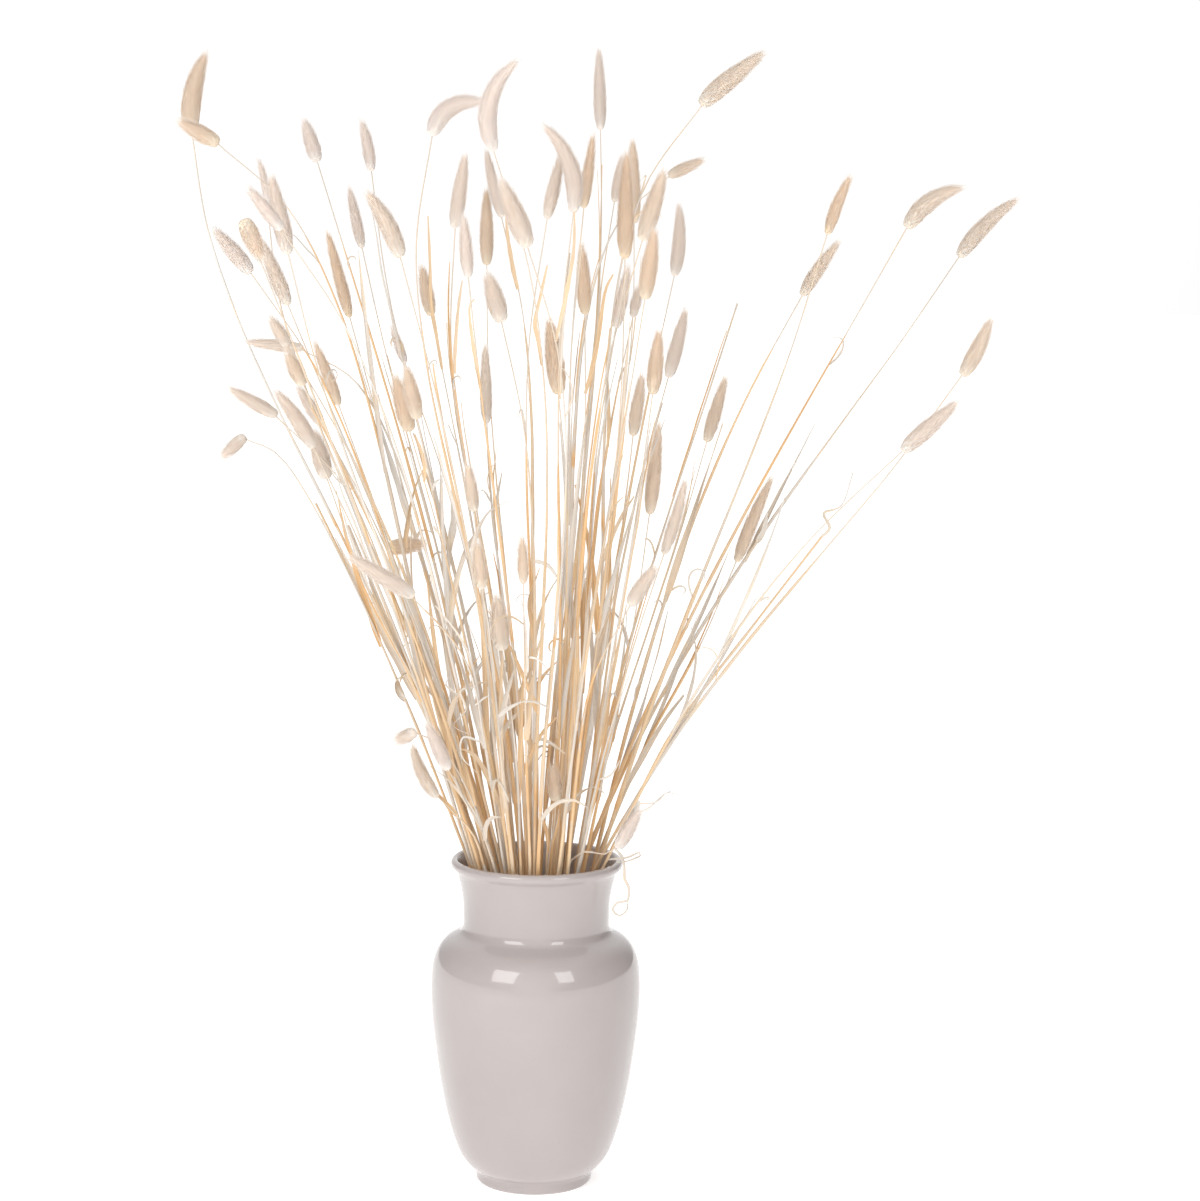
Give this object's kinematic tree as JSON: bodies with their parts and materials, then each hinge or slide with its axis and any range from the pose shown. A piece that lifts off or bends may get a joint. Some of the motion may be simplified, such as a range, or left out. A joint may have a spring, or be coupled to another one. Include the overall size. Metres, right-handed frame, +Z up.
{
  "type": "vase of dried bunny tail grass",
  "caption": "Glazed ceramic vase with a rolled lip, holding a loose spreading bouquet of dried hare's tail grass.",
  "frame": {"origin": "the middle of the vase's flat foot, on the surface that it stands on", "axes": "+Z up along the vase's axis, -Y towards the front that the picture shows, +X to its right"},
  "size_m": [0.5688, 0.4951, 0.767],
  "materials": {
    "vase_glaze": "gloss",
    "dried_grass": "matte"
  },
  "bodies": {
    "root": {"vase": "vase_glaze", "stem_05": "dried_grass", "stem_08": "dried_grass", "stem_10": "dried_grass", "stem_13": "dried_grass", "stem_14": "dried_grass", "stem_15": "dried_grass", "stem_16": "dried_grass", "stem_17": "dried_grass", "stem_18": "dried_grass", "stem_19": "dried_grass", "stem_20": "dried_grass", "stem_22": "dried_grass", "stem_23": "dried_grass", "stem_24": "dried_grass", "stem_25": "dried_grass", "stem_26": "dried_grass", "stem_27": "dried_grass", "stem_28": "dried_grass", "stem_29": "dried_grass", "stem_30": "dried_grass", "stem_32": "dried_grass", "stem_33": "dried_grass", "stem_35": "dried_grass", "stem_36": "dried_grass", "stem_37": "dried_grass", "stem_38": "dried_grass", "stem_39": "dried_grass", "stem_40": "dried_grass", "stem_41": "dried_grass", "stem_43": "dried_grass", "stem_45": "dried_grass", "stem_46": "dried_grass", "stem_49": "dried_grass", "stem_50": "dried_grass", "stem_52": "dried_grass", "stem_53": "dried_grass", "stem_57": "dried_grass", "stem_58": "dried_grass", "tuft_01": "dried_grass", "tuft_02": "dried_grass", "tuft_03": "dried_grass", "tuft_04": "dried_grass", "tuft_06": "dried_grass", "tuft_07": "dried_grass", "tuft_09": "dried_grass", "tuft_11": "dried_grass", "tuft_12": "dried_grass", "tuft_21": "dried_grass", "tuft_31": "dried_grass", "tuft_34": "dried_grass", "tuft_42": "dried_grass", "tuft_44": "dried_grass", "tuft_47": "dried_grass", "tuft_48": "dried_grass", "tuft_51": "dried_grass", "tuft_54": "dried_grass", "tuft_55": "dried_grass", "tuft_56": "dried_grass", "tuft_59": "dried_grass"}
  },
  "joints": []
}
